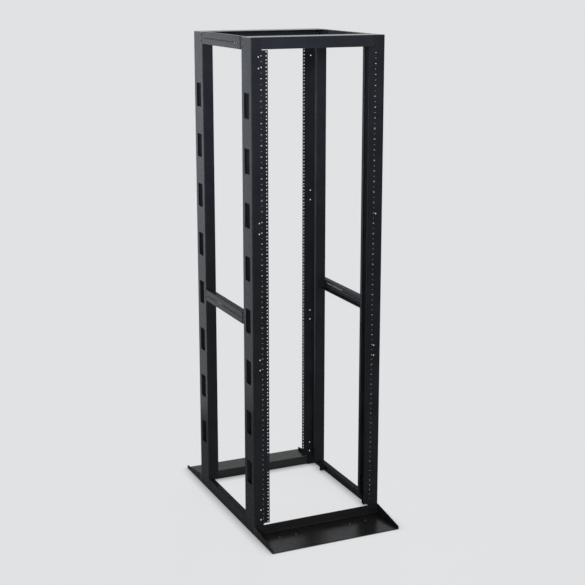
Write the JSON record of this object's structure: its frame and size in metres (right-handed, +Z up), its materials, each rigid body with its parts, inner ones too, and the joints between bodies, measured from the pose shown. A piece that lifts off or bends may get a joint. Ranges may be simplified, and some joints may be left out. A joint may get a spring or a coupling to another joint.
{
  "type": "four-post open frame rack",
  "caption": "Open frame server rack of folded black sheet steel: punched posts with cable windows, top beams, side rails, and base angles with gusseted ends.",
  "frame": {"origin": "on the floor, under the middle of the rack", "axes": "+Z up; the front, with the printed unit numbers, faces -Y"},
  "size_m": [0.594, 1.038, 2.1],
  "materials": {
    "post_coat": "semi-gloss black powder coat on folded sheet steel",
    "beam_coat": "semi-gloss black powder coat on folded sheet steel",
    "rail_coat": "semi-gloss black powder coat on folded sheet steel",
    "base_coat": "semi-gloss black powder coat on folded sheet steel"
  },
  "bodies": {
    "root": {"front_left_post": "post_coat", "front_right_post": "post_coat", "rear_left_post": "post_coat", "rear_right_post": "post_coat", "front_left_gusset": "post_coat", "front_right_gusset": "post_coat", "rear_left_gusset": "post_coat", "rear_right_gusset": "post_coat", "front_top_beam": "beam_coat", "rear_top_beam": "beam_coat", "front_base_angle": "base_coat", "rear_base_angle": "base_coat", "left_top_rail_front_half": "rail_coat", "left_top_rail_rear_half": "rail_coat", "left_middle_rail_front_half": "rail_coat", "left_middle_rail_rear_half": "rail_coat", "right_top_rail_front_half": "rail_coat", "right_top_rail_rear_half": "rail_coat", "right_middle_rail_front_half": "rail_coat", "right_middle_rail_rear_half": "rail_coat", "left_bottom_rail": "rail_coat", "right_bottom_rail": "rail_coat"}
  },
  "joints": []
}
